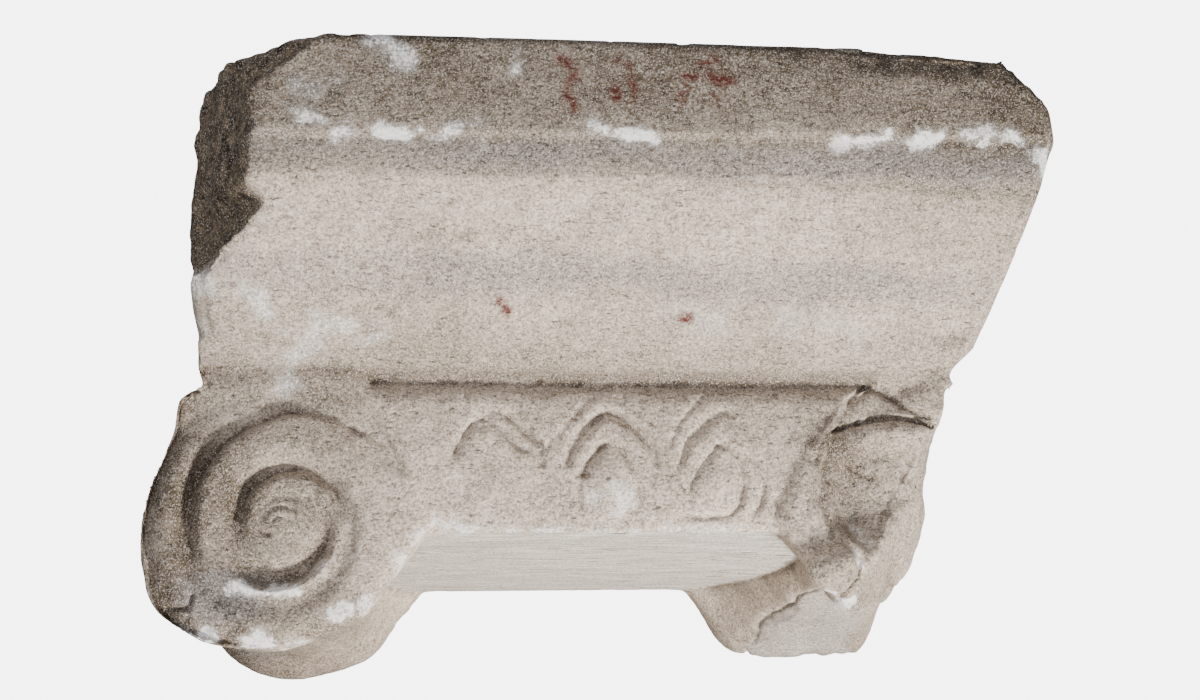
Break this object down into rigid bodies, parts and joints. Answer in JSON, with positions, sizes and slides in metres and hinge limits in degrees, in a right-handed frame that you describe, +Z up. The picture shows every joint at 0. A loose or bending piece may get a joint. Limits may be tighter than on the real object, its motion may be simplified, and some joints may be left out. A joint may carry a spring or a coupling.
{
  "type": "ionic impost capital",
  "caption": "Worn marble capital: a flaring impost over a low Ionic part with volutes, bolsters and pointed leaves, to sit on a column.",
  "frame": {"origin": "under the middle of the bounding box, at the level of the volutes' undersides", "axes": "+Z up, +X along the carved front from left to right, the carved front looks along -Y"},
  "size_m": [0.626, 0.6718, 0.387],
  "materials": {
    "marble": "worn grey-veined marble, matte and finely pitted"
  },
  "bodies": {
    "root": {"capital": "marble"}
  },
  "joints": []
}
